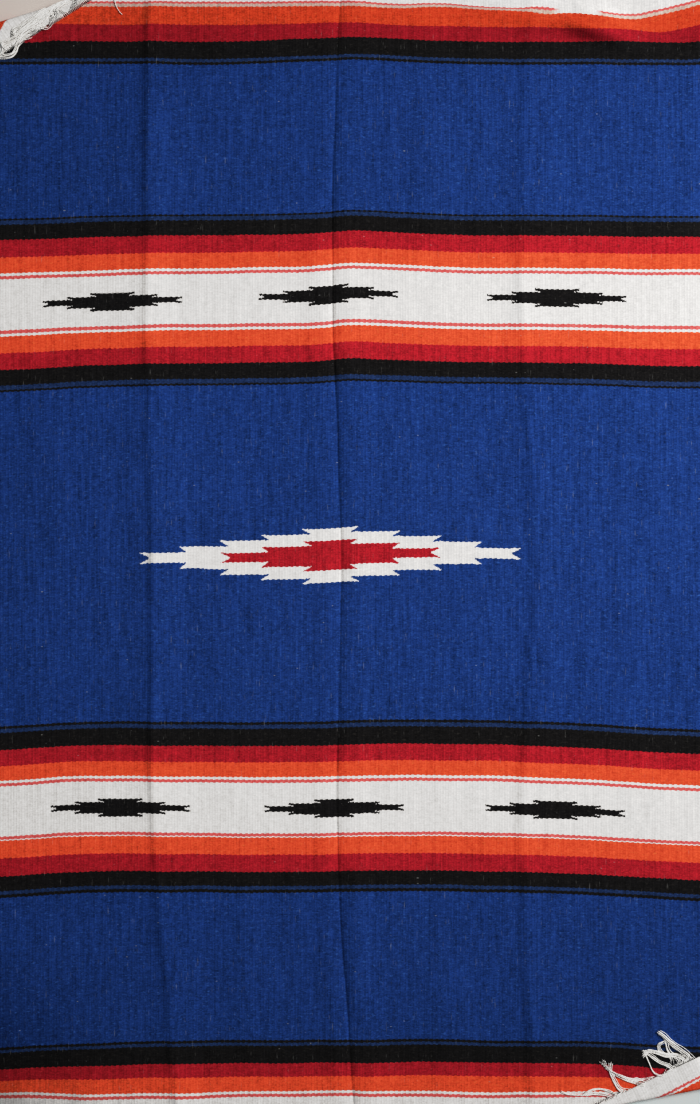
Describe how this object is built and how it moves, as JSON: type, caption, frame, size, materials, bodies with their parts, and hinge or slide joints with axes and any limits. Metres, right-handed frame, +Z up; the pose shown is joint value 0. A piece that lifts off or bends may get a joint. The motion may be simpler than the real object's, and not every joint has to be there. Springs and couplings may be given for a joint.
{
  "type": "mexican serape blanket",
  "caption": "Handwoven weft-striped serape blanket laid flat and face up, with turned-over corners and a knotted warp fringe at its ends.",
  "frame": {"origin": "centre of the laid blanket's bounding box, on the surface that it lies on", "axes": "+Z up off the surface, +Y along the blanket's length towards its head end, +X across its width; the face is up"},
  "size_m": [1.41, 2.3051, 0.021],
  "materials": {
    "striped_wool": "weft-faced plain weave, royal blue ground with black, red, orange and white weft bands, matt with a slight nap",
    "cotton_warp": "undyed plied cotton warp ends, knotted in tassels"
  },
  "bodies": {
    "root": {"web": "striped_wool", "fringe_head": "cotton_warp", "fringe_head_turned": "cotton_warp", "fringe_foot": "cotton_warp", "fringe_foot_turned": "cotton_warp"}
  },
  "joints": []
}
